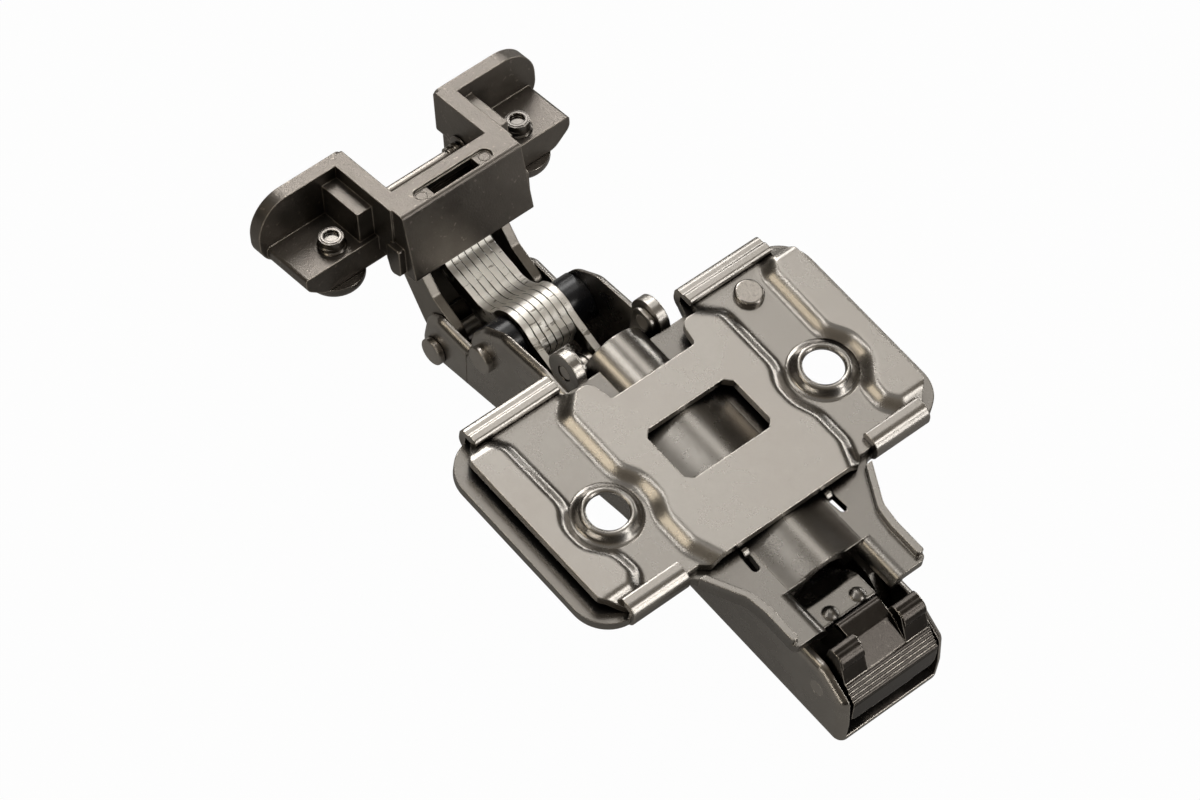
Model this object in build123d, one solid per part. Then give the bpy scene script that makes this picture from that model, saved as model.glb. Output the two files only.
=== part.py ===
from build123d import *
from math import cos, pi, radians, sin, tan
import os

# Concealed cabinet hinge, clip-on, for a door with a narrow frame. Millimetres.
# Origin: midway between the two fixing screws, on the face that lies on the cabinet side.
# +Z points out of the hinge into the cabinet side, +X along the arm to its release lever,
# and Y is the line of the two screws.
os.makedirs("parts", exist_ok=True)

# Clearances
running_gap = 0.05
face_gap = 0.05
slide_gap = 0.10

# Slide plate, the sheet that is screwed to the cabinet
screw_pitch = 32.0
screw_hole_radius = 2.45
collar_rim_radius = 2.95
collar_foot_radius = 3.95
slide_sheet = 1.1
emboss = 1.1
emboss_round = 0.85
slide_half_width = 24.1
slide_front = -16.9
slide_centre_front = -10.9
slide_lug_front = -14.1
slide_lug_inner = 6.2
slide_lug_outer = 9.4
slide_rear = 11.85
slide_side_rear = 10.9
window_front = -5.4
window_rear = 2.55
window_half_width = 6.4
window_corner = 0.9

# Base plate, carried by the slide plate
height_setting = -0.2
base_sheet = 1.2
base_half_width = 25.9
base_front = -17.2
base_rear = 11.2
base_corner = 4.6
hem_inner = 9.7
hem_outer = 21.9
hem_depth = 2.8
hem_sheet = 1.0
tab_inner = 13.9
tab_outer = 21.9
tab_depth = 2.6
ear_inner = 5.5
ear_sheet = 1.3
ear_radius = 2.6
hook_x = -17.85
hook_z = -2.8
hook_pin_radius = 1.0
vault_radius = 4.6
vault_sheet = 1.1
vault_gap = 0.15
vault_front = -17.3
vault_rear = 18.9
tail_rear = 25.0
tail_half_width = 9.75
tail_flange = 0.9
mouth_half_width = 4.8
prong_roll = 1.9
front_vault_radius = 4.7
front_vault_crown = -0.4
front_vault_rear = -11.1
tail_slot_front = 11.0
tail_slot_rear = 15.0
tail_slot_inner = 5.6
tail_slot_outer = 6.8

# Eccentric cams for height and depth
cam_throw = 1.9
cam_radius = 2.6
cam_x = -12.7
cam_y = 15.95
cam_head_radius = 1.8
cam_head_height = 0.8
cam_shank_radius = 1.3
cam_flange_radius = 3.9
cam_flange = 0.9
cam_swing = 50.0

# Arm, a folded channel open towards the cabinet side
arm_half_width = 7.75
arm_sheet = 1.1
arm_floor = -15.7
arm_rear = 32.4
arm_top = -5.5
arm_nose_bottom = -23.3
arm_slope_start = -4.0
arm_floor_front = -26.0
pin_a_x = -37.2
pin_a_z = -20.6
pin_b_x = -29.5
pin_b_z = -13.0
arm_pin_radius = 1.25
rivet_radius = 1.75
rivet_height = 0.45

# Carriage that clips the arm to the base plate
carriage_half_width = 6.35
carriage_sheet = 1.2
carriage_tab_sheet = 0.65
carriage_front = -16.0
carriage_rear = 24.1
carriage_top = -6.4
tongue_half_width = 3.84
tongue_rear = 23.9
tongue_top = -5.55
dimple_x = 22.7
dimple_y = 2.04
dimple_radius = 1.0
dimple_height = 0.35
side_screw_x = -8.0
side_screw_radius = 2.0
side_screw_head = 3.0
side_screw_top = -12.2
depth_cam_x = 6.0
depth_hub_radius = 3.0

# Release lever
lever_pin_x = 27.6
lever_pin_z = -9.2
lever_pin_radius = 1.0
lever_half_width = 6.25
lever_body_half_width = 2.98
rib_count = 5
rib_height = 0.28

# Links and their pivots in the door block, in the block's own tilted plane
block_tilt = 13.0
pivot_c = (-45.9, 3.5)
pivot_d = (-46.2, -0.7)
block_pin_radius = 0.95
open_pivot_pin_radius = 0.8
open_pivot_hole_radius = 1.85
outer_link_sheet = 1.2
outer_link_gap = 0.1
outer_eye_radius = 2.0
outer_foot_radius = 2.5
link_plate_count = 7
link_pitch = 0.985
link_plate = 0.93
link_eye_radius = 2.45
link_hub_radius = 3.8
bush_radius = 3.1

# Door block, die cast, in its own tilted plane
block_top = 8.6
block_bottom = -0.8
block_back = -47.86
block_front_top = -43.5
block_front_bottom = -41.9
block_half_width = 8.8
block_wall = 1.1
ear_wall_inner = 6.94
ear_wall_outer = 9.05
ear_back = -57.2
ear_back_sheet = 1.8
ear_half_span = 20.6
ear_corner = 4.6
ear_bottom = -1.2
shelf_top = 2.5
shelf_front = -48.2
shelf_half_span = 19.7
rib_outer = 11.2
rib_top = 6.8
rib_front = -48.9
clamp_x = -50.65
clamp_y = 13.92
clamp_thread_radius = 1.5
clamp_head_radius = 3.6
clamp_head_height = 1.9
clamp_tip = 4.1
rod_x = -52.65
rod_z = 2.66
rod_radius = 0.75
slot_half_length = 5.6
slot_front = -44.1
slot_rear = -46.1
slot_depth = 0.35
mouth_front = -44.25
mouth_rear = -45.98
mouth_half = 3.36

# Damper and closing spring inside the arm
damper_radius = 2.3
damper_z = -9.6
damper_front = -14.0
damper_rear = 4.0
piston_radius = 0.9
piston_front = -17.5
spring_x = -21.6
spring_z = -14.9
spring_radius = 2.7
spring_wire = 0.9
spring_turns = 5
spring_pin_radius = 0.75

base_top = -emboss - slide_sheet - face_gap
base_bottom = base_top - base_sheet
vault_centre = -slide_sheet - vault_gap - vault_radius
arm_inner = arm_half_width - arm_sheet
outer_link_half = arm_inner - outer_link_gap
carriage_floor = arm_floor + base_sheet + slide_gap


def outline(points, radii):
    """Closed face through the points, each corner rounded by its own radius."""
    return make_face(FilletPolyline(*points, radius=radii, close=True))


def across(face, low, high):
    """Plate standing in the X-Z plane between two values of Y."""
    return extrude(Plane.XZ.offset(-high) * face, amount=high - low)


def upright(face, low, high):
    """Plate lying in the X-Y plane between two values of Z."""
    return extrude(Plane.XY.offset(low) * face, amount=high - low)


def brick(x_low, x_high, y_low, y_high, z_low, z_high):
    """Rectangular solid between two corners."""
    centre = ((x_low + x_high) / 2, (y_low + y_high) / 2, (z_low + z_high) / 2)
    return Pos(*centre) * Box(x_high - x_low, y_high - y_low, z_high - z_low)


def pin_across(x, z, radius, low, high):
    """Round bar along Y."""
    return Pos(x, (low + high) / 2, z) * Rot(90, 0, 0) * Cylinder(radius, high - low)


def post(x, y, radius, low, high):
    """Round bar along Z."""
    return Pos(x, y, (low + high) / 2) * Cylinder(radius, high - low)


def bar_along(z, radius, low, high):
    """Round bar along X on the centre line."""
    return Pos((low + high) / 2, 0, z) * Rot(0, 90, 0) * Cylinder(radius, high - low)


def pair(shape):
    """The shape and its mirror image over the centre plane."""
    return shape + mirror(shape, about=Plane.XZ)


def cross_recess(x, y, z, size, depth):
    """Cross-shaped driver recess, cut upwards from z."""
    arm_width = size / 4
    slot = brick(x - size / 2, x + size / 2, y - arm_width / 2, y + arm_width / 2, z, z + depth)
    other = brick(x - arm_width / 2, x + arm_width / 2, y - size / 2, y + size / 2, z, z + depth)
    return slot + other


def on_arm(shape):
    """Shift a piece carried by the base plate to the height setting."""
    return Pos(0, height_setting, 0) * shape


def on_block(shape):
    """Turn a shape drawn in the door block's plane to its place."""
    return Rot(0, -block_tilt, 0) * shape


def block_point(point):
    """Place in X and Z of a point given in the door block's plane."""
    tilt = radians(block_tilt)
    x = point[0] * cos(tilt) - point[1] * sin(tilt)
    z = point[0] * sin(tilt) + point[1] * cos(tilt)
    return x, z


def slide_outline():
    half = [
        (slide_centre_front, slide_lug_inner, 0.6),
        (slide_lug_front, slide_lug_inner + 0.6, 1.2),
        (slide_lug_front, slide_lug_outer, 0.8),
        (slide_front, slide_lug_outer + 1.0, 0.5),
        (slide_front, hem_outer - 0.4, 0.8),
        (slide_lug_front, slide_half_width, 1.0),
        (slide_side_rear - 3.0, slide_half_width, 0.8),
        (slide_side_rear, tab_outer - 0.6, 0.6),
        (slide_side_rear, tab_inner - 1.9, 0.3),
        (slide_rear, tab_inner - 3.0, 0.5),
    ]
    points = [(x, y) for x, y, r in half] + [(x, -y) for x, y, r in reversed(half)]
    radii = [r for x, y, r in half] + [r for x, y, r in reversed(half)]
    return outline(points, radii)


def plateau_outline(inset):
    """Raised middle of the slide plate, waisted beside the screw holes."""
    half = [
        (slide_lug_front - 2, 7.4, 0.0),
        (slide_lug_front - 0.6, 9.3, 1.0),
        (-12.4, 11.75, 1.8),
        (-3.4, 11.75, 4.0),
        (-1.2, 10.35, 4.0),
        (1.6, 10.35, 4.0),
        (4.2, 11.45, 4.0),
        (8.6, 11.45, 3.0),
        (slide_rear + 2, 8.6, 0.0),
    ]
    points = [(x, y - inset) for x, y, r in half] + [(x, inset - y) for x, y, r in reversed(half)]
    radii = [r for x, y, r in half] + [r for x, y, r in reversed(half)]
    return outline(points, radii)


def ridge_outline(inset):
    """Raised outer edge of the slide plate on the +Y side."""
    points = [
        (-14.9 + inset, 26.0),
        (-14.9 + inset, 20.6 + inset),
        (-13.2, 19.5 + inset),
        (-3.6, 19.3 + inset),
        (-1.3, 20.9 + inset),
        (1.7, 20.9 + inset),
        (4.6, 18.6 + inset),
        (7.4, 18.4 + inset),
        (9.2 - inset, 19.8 + inset),
        (9.2 - inset, 26.0),
    ]
    return outline(points, [0, 1.4, 1.6, 3.5, 3.0, 3.0, 3.0, 1.6, 1.4, 0])


def slide_plate():
    blank = slide_outline()
    plate = upright(blank, -emboss - slide_sheet, -emboss)
    raised_areas = (plateau_outline, ridge_outline)
    for area in raised_areas:
        block = upright(area(0), -emboss - 0.1, 0)
        block = fillet(block.faces().sort_by(Axis.Z)[-1].edges(), emboss_round)
        hollow = upright(area(emboss_round), -emboss - slide_sheet - 1, -slide_sheet)
        if area is ridge_outline:
            block += mirror(block, about=Plane.XZ)
            hollow += mirror(hollow, about=Plane.XZ)
        plate += block & upright(blank, -emboss - slide_sheet, 1)
        plate -= hollow
    for y in (-screw_pitch / 2, screw_pitch / 2):
        plate += Pos(0, y, -emboss / 2) * Cone(collar_foot_radius, collar_rim_radius, emboss)
        sink = emboss + slide_sheet - 0.5
        plate -= Pos(0, y, -emboss - slide_sheet + sink / 2) * Cone(collar_foot_radius - 0.2, screw_hole_radius, sink)
        plate -= post(0, y, screw_hole_radius, -slide_sheet - emboss, 0.1)
    window = Rectangle(window_rear - window_front, 2 * window_half_width)
    window = chamfer(window.vertices(), window_corner)
    plate -= Pos((window_front + window_rear) / 2, 0) * upright(window, -emboss - slide_sheet - 1, 1)
    plate -= post(cam_x, cam_y, cam_shank_radius + running_gap, -emboss - slide_sheet - 1, 1)
    return plate


def height_cam():
    head = post(cam_x, cam_y, cam_head_radius, -emboss, cam_head_height - emboss)
    head = fillet(head.edges().filter_by(GeomType.CIRCLE).sort_by(Axis.Z)[-1], 0.35)
    shank = post(cam_x, cam_y, cam_shank_radius, -emboss - slide_sheet - face_gap, -emboss)
    eccentric = post(cam_x + cam_throw, cam_y, cam_radius, base_bottom - face_gap, base_top)
    flange_top = base_bottom - face_gap
    flange = post(cam_x, cam_y, cam_flange_radius, flange_top - cam_flange, flange_top)
    cam = head + shank + eccentric + flange
    return cam - cross_recess(cam_x, cam_y, flange_top - cam_flange, cam_flange_radius, 0.7)


def cam_slot(x, y, along_x, low, high):
    """Slot in a moving sheet that an eccentric turns in."""
    reach = cam_throw * (1 - cos(radians(cam_swing)))
    near = cam_throw - reach
    radius = cam_radius + slide_gap
    dx, dy = (1, 0) if along_x else (0, 1)
    ends = post(x + near * dx, y + near * dy, radius, low, high)
    ends += post(x + cam_throw * dx, y + cam_throw * dy, radius, low, high)
    if along_x:
        return ends + brick(x + near, x + cam_throw, y - radius, y + radius, low, high)
    return ends + brick(x - radius, x + radius, y + near, y + cam_throw, low, high)


def base_outline():
    half = [
        (-15.4, 4.0, 0.0),
        (-15.4, hem_inner - 0.6, 0.6),
        (base_front, hem_inner, 0.0),
        (base_front, base_half_width, base_corner),
        (base_rear, base_half_width, base_corner),
        (base_rear, 12.9, 1.4),
        (17.2, 10.1, 3.0),
        (19.8, 9.75, 2.0),
        (tail_rear, tail_half_width, 0.8),
        (tail_rear, mouth_half_width + prong_roll, 0.0),
        (vault_rear, mouth_half_width + prong_roll, 0.0),
    ]
    points = [(x, y) for x, y, r in half] + [(x, -y) for x, y, r in reversed(half)]
    radii = [r for x, y, r in half] + [r for x, y, r in reversed(half)]
    return outline(points, radii)


def hem():
    """Front edge rolled over the slide plate, with a raised bead along its lip."""
    front = base_front - hem_sheet
    lip = front + hem_depth
    lip_under = -emboss + face_gap
    lip_top = lip_under + hem_sheet
    points = [
        (base_front + 1.5, base_bottom), (front, base_bottom), (front, lip_top - 0.35),
        (front + 1.4, lip_top - 0.35), (front + 1.6, lip_top), (lip, lip_top), (lip, lip_under),
        (base_front + face_gap, lip_under), (base_front + face_gap, base_top), (base_front + 1.5, base_top)]
    face = outline(points, [0, 1.5, 0.8, 0.3, 0.3, 0.45, 0.3, 0, 0, 0])
    return across(face, hem_inner, hem_outer)


def rear_tab():
    """Rear edge folded up and over the slide plate."""
    inner = slide_side_rear + face_gap
    outer = inner + hem_sheet
    lip_under = -emboss + face_gap
    lip_top = lip_under + hem_sheet
    lip = outer - tab_depth
    points = [
        (base_rear - 1.5, base_bottom), (outer, base_bottom), (outer, lip_top), (lip, lip_top),
        (lip, lip_under), (inner, lip_under), (inner, base_top), (base_rear - 1.5, base_top)]
    face = outline(points, [0, 1.5, 1.5, 0.4, 0.3, 0, 0, 0])
    return across(face, tab_inner, tab_outer)


def hook_ear():
    """Upright ear whose hole hooks over the arm's pin."""
    disc = Pos(hook_x, hook_z) * Circle(ear_radius)
    foot = outline(
        [(hook_x - ear_radius + 0.4, hook_z), (hook_x + ear_radius - 0.4, base_top),
         (-12.6, base_top), (-12.6, base_bottom), (hook_x - ear_radius + 1.4, base_bottom - 1.0)],
        [0, 0, 0.3, 0.6, 0.6])
    ear = across(disc + foot, ear_inner, ear_inner + ear_sheet)
    opening = Pos(hook_x, hook_z) * Circle(hook_pin_radius + running_gap)
    return ear - across(opening, ear_inner - 1, ear_inner + ear_sheet + 1)


def vault(centre, radius, front, rear):
    """Half-round length along X, flat side down at its centre height."""
    disc = bar_along(centre, radius, front, rear)
    return disc - brick(front - 1, rear + 1, -radius - 1, radius + 1, centre - radius - 1, centre)


def prong_lip():
    """Inner edge of a tail prong, rolled down beside the mouth."""
    y = mouth_half_width + prong_roll
    roll = Pos(0, y, 0) * bar_along(base_top - prong_roll, prong_roll, vault_rear - 0.4, tail_rear)
    roll -= Pos(0, y, 0) * bar_along(base_top - prong_roll, prong_roll - base_sheet, 0, tail_rear + 1)
    return roll & brick(0, tail_rear + 1, y - prong_roll - 1, y, base_top - prong_roll, base_top)


def tail_flange_rim():
    """Upturned edge along each side of the tail."""
    path = [(base_rear + 1.0, 12.8), (17.2, 10.1), (19.8, 9.75), (tail_rear - 0.6, tail_half_width)]
    inner = [(x, y - 0.9) for x, y in reversed(path)]
    face = outline(path + inner, [0, 3.0, 2.0, 0.3, 0.3, 2.0, 3.0, 0])
    rim = upright(face, base_bottom, base_top + tail_flange)
    return rim


def base_plate():
    plate = upright(base_outline(), base_bottom, base_top)
    plate += pair(hem()) + pair(rear_tab()) + pair(hook_ear()) + pair(tail_flange_rim())
    front_centre = front_vault_crown - front_vault_radius
    plate += vault(vault_centre, vault_radius, front_vault_rear - 1, vault_rear)
    plate += vault(front_centre, front_vault_radius, vault_front, front_vault_rear)
    plate += pair(prong_lip())
    plate += pair(brick(tail_slot_rear + 0.6, vault_rear, 3.0, mouth_half_width + prong_roll, base_bottom, base_top))
    plate -= vault(vault_centre, vault_radius - vault_sheet, vault_front - 1, vault_rear + 1)
    plate -= vault(front_centre, front_vault_radius - vault_sheet, vault_front - 1, front_vault_rear - vault_sheet)
    plate -= brick(vault_front - 1, vault_rear + 1, -2.2, 2.2, base_bottom - 1, base_bottom)
    slot = outline(
        [(tail_slot_front, tail_slot_inner), (tail_slot_rear, tail_slot_inner + 0.4),
         (tail_slot_rear, tail_slot_outer + 0.2), (tail_slot_front, tail_slot_outer)],
        [0.3, 0.5, 0.5, 0.3])
    plate -= pair(upright(slot, base_bottom - 1, base_top + 1))
    curl = Pos(tail_slot_front + 1.1, 6.15, base_top - 0.2) * Rot(90, 0, 0) * Cylinder(0.8, 0.8)
    plate += pair(curl)
    plate -= cam_slot(cam_x, cam_y - height_setting, True, base_bottom - 1, base_top + 1)
    for y in (-screw_pitch / 2, screw_pitch / 2):
        plate -= post(0, y - height_setting, collar_foot_radius + 1.2, base_bottom - 1, base_top + 1)
    return plate


def arm_outline():
    points = [
        (arm_rear, arm_floor), (arm_slope_start, arm_floor), (pin_a_x - 1.0, arm_nose_bottom),
        (-40.2, -21.6), (-40.0, -17.2), (-38.0, -15.5), (-32.3, -15.2), (-32.6, -12.4),
        (-31.0, -9.2), (-27.6, -6.6), (-20.5, arm_top), (27.4, arm_top),
        (31.8, -8.1), (arm_rear, -12.0)]
    return outline(points, [0.6, 12.0, 2.2, 1.6, 2.0, 1.6, 0.3, 1.6, 3.0, 3.0, 3.0, 1.6, 1.2, 1.0])


def arm():
    slope = (arm_nose_bottom - arm_floor) / (pin_a_x - 1.0 - arm_slope_start)
    floor_front_z = arm_floor + slope * (arm_floor_front - arm_slope_start)
    inside = outline(
        [(arm_rear + 5, arm_floor + base_sheet), (arm_slope_start, arm_floor + base_sheet),
         (arm_floor_front, floor_front_z + base_sheet), (arm_floor_front, arm_nose_bottom - 5),
         (pin_a_x - 10, arm_nose_bottom - 5), (pin_a_x - 10, 5), (arm_rear + 5, 5)],
        [0, 8, 0.3, 0, 0, 0, 0])
    body = across(arm_outline(), -arm_half_width, arm_half_width)
    corners = body.edges().filter_by(Axis.X).sort_by(Axis.Z)[:2]
    body = fillet(corners, 1.3)
    body -= across(inside, -arm_inner, arm_inner)
    for x, z in ((pin_a_x, pin_a_z), (pin_b_x, pin_b_z)):
        body -= pin_across(x, z, arm_pin_radius, -arm_half_width - 1, arm_half_width + 1)
    body -= pin_across(lever_pin_x, lever_pin_z, lever_pin_radius, -arm_half_width - 1, arm_half_width + 1)
    body -= cam_slot(depth_cam_x, 0, False, arm_floor - 1, arm_floor + base_sheet + 0.5)
    screw_slot = SlotCenterToCenter(5.0, 2 * side_screw_head + 1.0)
    floor = arm_floor + slope * (side_screw_x - arm_slope_start)
    return body - Pos(side_screw_x, 0, floor - 2) * extrude(screw_slot, amount=6)


def riveted_pin(x, z, radius, half_length, head_radius, head_height):
    """Pin along Y with a riveted head at each end."""
    pin = pin_across(x, z, radius, -half_length, half_length)
    head = pin_across(x, z, head_radius, half_length, half_length + head_height)
    rim = head.edges().filter_by(GeomType.CIRCLE).sort_by(Axis.Y)[-1]
    return pin + pair(fillet(rim, head_height * 0.7))


def carriage():
    top_wall = carriage_half_width - carriage_sheet
    floor_top = carriage_floor + carriage_sheet
    side = outline(
        [(carriage_front, carriage_floor), (carriage_rear, carriage_floor), (carriage_rear, -9.0),
         (21.0, carriage_top), (carriage_front - 1.0, carriage_top), (carriage_front - 2.4, -9.2)],
        [1.0, 0.6, 1.2, 1.2, 0.8, 1.5])
    body = across(side, -carriage_half_width, carriage_half_width)
    body -= brick(carriage_front - 5, carriage_rear + 5, -top_wall, top_wall, floor_top, 0)
    tab = outline(
        [(hook_x - 1.7, hook_z + 1.6), (hook_x + 1.7, hook_z + 1.6), (hook_x + 1.9, carriage_top - 1.5),
         (hook_x - 0.5, carriage_top - 1.5), (hook_x - 1.7, carriage_top)],
        [1.2, 1.2, 0.2, 0.3, 0.8])
    tab_outer = ear_inner - face_gap
    body += pair(across(tab, tab_outer - carriage_tab_sheet, tab_outer))
    strip = outline(
        [(12.4, floor_top - 0.3), (19.4, tongue_top - 2.2), (20.9, tongue_top - 1.1),
         (tongue_rear, tongue_top - 1.1), (tongue_rear, tongue_top), (20.6, tongue_top),
         (18.3, tongue_top - 1.5), (10.6, floor_top - 0.3)],
        [0.3, 1.0, 0.8, 0.2, 0.4, 1.0, 1.0, 0.3])
    tongue = across(strip, -tongue_half_width, tongue_half_width)
    inside_vault = vault_radius - vault_sheet - 0.2
    tongue -= pair(brick(9, vault_rear + 0.3, inside_vault, tongue_half_width + 1, carriage_floor, 0))
    for y in (-dimple_y, dimple_y):
        sphere_radius = (dimple_radius ** 2 + dimple_height ** 2) / (2 * dimple_height)
        cap = Pos(dimple_x, y, tongue_top + dimple_height - sphere_radius) * Sphere(sphere_radius)
        tongue += cap & brick(dimple_x - 2, dimple_x + 2, y - 1.9, y + 1.9, tongue_top - 0.05, tongue_top + 1)
    body += tongue
    body -= post(side_screw_x, 0, side_screw_radius + running_gap, carriage_floor - 1, floor_top + 0.5)
    body -= post(depth_cam_x, 0, depth_hub_radius + running_gap, carriage_floor - 1, floor_top + 0.5)
    return body - pair(pin_across(hook_x, hook_z, hook_pin_radius, 0, tab_outer + 1))


def hook_pin():
    low = ear_inner - face_gap - carriage_tab_sheet
    high = ear_inner + ear_sheet - 0.1
    stub = pin_across(hook_x, hook_z, hook_pin_radius, low, high)
    rim = stub.edges().filter_by(GeomType.CIRCLE).sort_by(Axis.Y)[-1]
    return fillet(rim, 0.2)


def side_screw():
    head_low = arm_floor - 0.2
    head = post(side_screw_x, 0, side_screw_head, head_low, carriage_floor - face_gap)
    shaft = post(side_screw_x, 0, side_screw_radius, carriage_floor - face_gap, side_screw_top)
    return head + shaft - cross_recess(side_screw_x, 0, head_low, side_screw_head * 1.3, 0.8)


def depth_cam():
    low = arm_floor
    eccentric = post(depth_cam_x, cam_throw, cam_radius, low, arm_floor + base_sheet + face_gap)
    hub = post(depth_cam_x, 0, depth_hub_radius, arm_floor + base_sheet + face_gap, carriage_floor + carriage_sheet)
    return eccentric + hub - cross_recess(depth_cam_x, cam_throw, low, cam_radius * 1.4, 0.7)


def clip_lever():
    body_face = outline(
        [(24.2, -4.9), (25.0, -4.3), (27.2, -4.6), (30.0, -6.7), (32.1, -8.8), (32.2, -12.0),
         (31.5, -13.2), (30.6, -13.2), (30.2, -9.6), (27.6, -11.3), (25.9, -9.6), (25.9, -5.15), (24.3, -5.15)],
        [0.1, 0.5, 0.8, 0.6, 0.5, 0.8, 0.3, 0.3, 0.8, 1.2, 0.8, 0.3, 0.1])
    lever = across(body_face, -lever_body_half_width, lever_body_half_width)
    thumb = outline(
        [(29.6, -7.2), (30.0, -6.7), (32.1, -8.8), (32.2, -12.0), (31.3, -12.6), (30.2, -9.6)],
        [0.2, 0.2, 0.5, 0.6, 0.3, 0.5])
    lever += across(thumb, -lever_half_width, lever_half_width)
    lug = outline(
        [(26.8, -3.35), (27.5, -3.1), (28.5, -3.4), (30.2, -6.9), (30.2, -9.4), (28.2, -11.3),
         (26.7, -11.0), (26.1, -9.0)],
        [0.4, 0.4, 0.7, 0.4, 0.5, 1.2, 1.2, 0.8])
    lever += pair(across(lug, lever_body_half_width - 0.1, lever_half_width))
    for i in range(rib_count):
        step = (i + 0.5) / rib_count * 1.9
        lever += pin_across(30.1 + step, -6.8 - step, rib_height, -lever_half_width, lever_half_width)
    corner = outline([(3.9, -13.5), (lever_half_width + 1, -10.2), (lever_half_width + 1, -13.5)], [0, 0, 0])
    lever -= pair(extrude(Plane.YZ.offset(28) * corner, amount=6))
    hole = pin_across(lever_pin_x, lever_pin_z, lever_pin_radius + running_gap, -arm_half_width, arm_half_width)
    spring_room = brick(24.9, 30.3, -2.0, 2.0, -12.0, -7.6)
    return lever - hole - spring_room


def outer_link():
    cx, cz = block_point(pivot_c)
    neck_x, neck_z = block_point((pivot_c[0] + 0.1, pivot_c[1] - 5.6))
    eye = Pos(cx, cz) * Circle(outer_eye_radius)
    neck = outline(
        [(cx - 1.3, cz), (cx + 1.3, cz), (neck_x + 1.3, neck_z), (neck_x - 1.3, neck_z)], [0, 0, 0, 0])
    foot = Pos(pin_a_x, pin_a_z) * Circle(outer_foot_radius)
    cheek = outline(
        [(neck_x - 1.3, neck_z + 0.2), (neck_x + 1.3, neck_z + 0.2), (-40.1, -14.5), (-35.6, -16.0),
         (-33.8, -17.9), (-34.9, -20.6), (pin_a_x, pin_a_z - outer_foot_radius), (-41.1, -19.7), (-45.5, -15.2)],
        [0.5, 0.8, 1.0, 1.5, 1.2, 1.5, 1.5, 2.0, 1.0])
    side = eye + neck + cheek + foot
    link = pair(across(side, outer_link_half - outer_link_sheet, outer_link_half))
    web = outline(
        [(-45.1, -15.6), (-41.1, -19.7), (-40.3, -19.0), (-44.3, -14.9)],
        [0.3, 0.3, 0.3, 0.3])
    link += across(web, -outer_link_half, outer_link_half)
    link -= pin_across(pin_a_x, pin_a_z, arm_pin_radius + running_gap, -arm_half_width, arm_half_width)
    return link - pin_across(cx, cz, block_pin_radius + running_gap, -arm_half_width, arm_half_width)


def link_plate_outline(long_plate):
    """Side view of one plate of the inner link."""
    dx, dz = block_point(pivot_d)
    eye = Pos(dx, dz) * Circle(link_eye_radius)
    hub = Pos(pin_b_x, pin_b_z) * Circle(link_hub_radius)
    body = outline(
        [(dx - 0.4, dz + link_eye_radius - 0.4), (-41.6, -12.6), (-34.6, -13.55), (-32.4, -11.0),
         (pin_b_x, pin_b_z + link_hub_radius), (-26.2, -10.4), (-25.2, -11.2), (-25.6, -14.2),
         (pin_b_x, pin_b_z - link_hub_radius), (-36.0, -16.0), (-41.0, -14.6), (dx - 0.6, dz - link_eye_radius + 0.3)],
        [0.5, 1.6, 3.5, 3.0, 3.5, 0.4, 0.8, 2.0, 3.0, 8.0, 6.0, 0.3])
    side = eye + hub + body
    if long_plate:
        prong = outline(
            [(-27.0, -10.2), (-22.8, -11.45), (-19.6, -12.4), (-19.6, -13.9), (-24.0, -13.6), (-27.0, -13.4)],
            [0, 2.0, 0.6, 0.6, 1.0, 0])
        side = side + prong
    side -= Pos(pin_b_x, pin_b_z) * Circle(arm_pin_radius + running_gap)
    return side - Pos(dx, dz) * Circle(open_pivot_hole_radius)


def link_plates():
    plates = {}
    for i in range(link_plate_count):
        centre = (i - (link_plate_count - 1) / 2) * link_pitch
        side = link_plate_outline(i in (0, link_plate_count - 1))
        plates[f"link_plate_{i + 1}"] = across(side, centre - link_plate / 2, centre + link_plate / 2)
    return plates


def bush():
    inner = link_pitch * link_plate_count / 2 + 0.15
    ring = pin_across(pin_b_x, pin_b_z, bush_radius, inner, arm_inner - face_gap)
    return ring - pin_across(pin_b_x, pin_b_z, arm_pin_radius, inner - 1, arm_inner + 1)


def block_shell():
    """Box of the door block, open below for the links."""
    box = outline(
        [(block_back, block_top), (block_front_top, block_top), (block_front_bottom, block_bottom),
         (block_back + 0.6, block_bottom)],
        [0.2, 0.5, 0.4, 0.3])
    shell = across(box, -block_half_width, block_half_width)
    room_top = block_top - 1.2
    room_half = block_half_width - block_wall
    front_slope = (block_front_bottom - block_front_top) / (block_bottom - block_top)
    room_front_bottom = block_front_bottom - block_wall + front_slope * -1.0
    room_front_top = block_front_top - block_wall + front_slope * (room_top - block_top)
    room = outline(
        [(block_back + 1.0, room_top), (room_front_top, room_top), (room_front_bottom, block_bottom - 1),
         (block_back - 3, block_bottom - 1), (block_back - 3, 5.9), (block_back + 1.0, 5.9)],
        [0, 0.3, 0, 0, 0, 0])
    shell -= across(room, -room_half, room_half)
    return shell


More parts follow.
